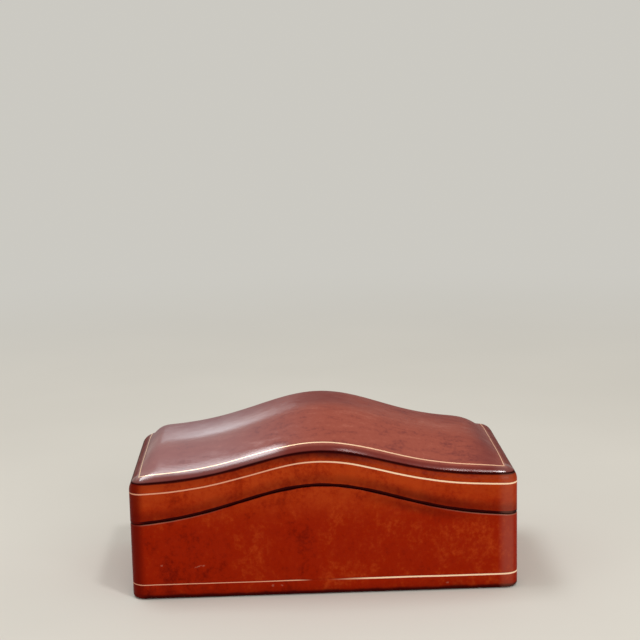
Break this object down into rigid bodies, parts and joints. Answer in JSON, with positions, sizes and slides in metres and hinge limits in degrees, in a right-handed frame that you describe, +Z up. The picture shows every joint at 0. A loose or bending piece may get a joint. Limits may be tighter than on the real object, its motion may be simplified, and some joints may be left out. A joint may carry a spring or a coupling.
{
  "type": "leather box",
  "caption": "Leather-covered wooden box with a lift-off lid, a serpentine seam and a cushioned top, for papers and keepsakes.",
  "frame": {"origin": "middle of the sole's underside, on the surface that the box stands on", "axes": "+X along the box's length towards the right end, +Y from the front to the back, +Z up"},
  "size_m": [0.28, 0.14, 0.1291],
  "materials": {
    "side_leather": "hand-stained and polished, reddish brown, mottled",
    "top_leather": "hand-stained and polished, darker brown",
    "sole_leather": "dark, burnished edge",
    "boards": "planed limewood, bare",
    "collar_ply": "thin plywood, bare",
    "suede": "napped suede lining",
    "wadding": "felted wadding"
  },
  "bodies": {
    "base": {"base_sole": "sole_leather", "base_floor_board": "boards", "base_floor_lining": "suede", "base_side_leather": "side_leather", "base_front_board": "boards", "base_back_board": "boards", "base_left_board": "boards", "base_right_board": "boards", "collar_front_board": "collar_ply", "collar_back_board": "collar_ply", "collar_left_board": "collar_ply", "collar_right_board": "collar_ply", "collar_front_suede": "suede", "collar_back_suede": "suede", "collar_left_suede": "suede", "collar_right_suede": "suede"},
    "lid": {"lid_side_leather": "side_leather", "lid_front_board": "boards", "lid_back_board": "boards", "lid_left_board": "boards", "lid_right_board": "boards", "lid_top_board": "boards", "lid_top_padding": "wadding", "lid_top_leather": "top_leather", "lid_top_lining": "suede", "lid_front_lining": "suede", "lid_back_lining": "suede", "lid_left_lining": "suede", "lid_right_lining": "suede"}
  },
  "joints": [
    {"name": "lid_lift", "type": "slide", "parent": "base", "child": "lid", "axis": [0, 0, 1], "range_m": [0, 0.12]}
  ]
}
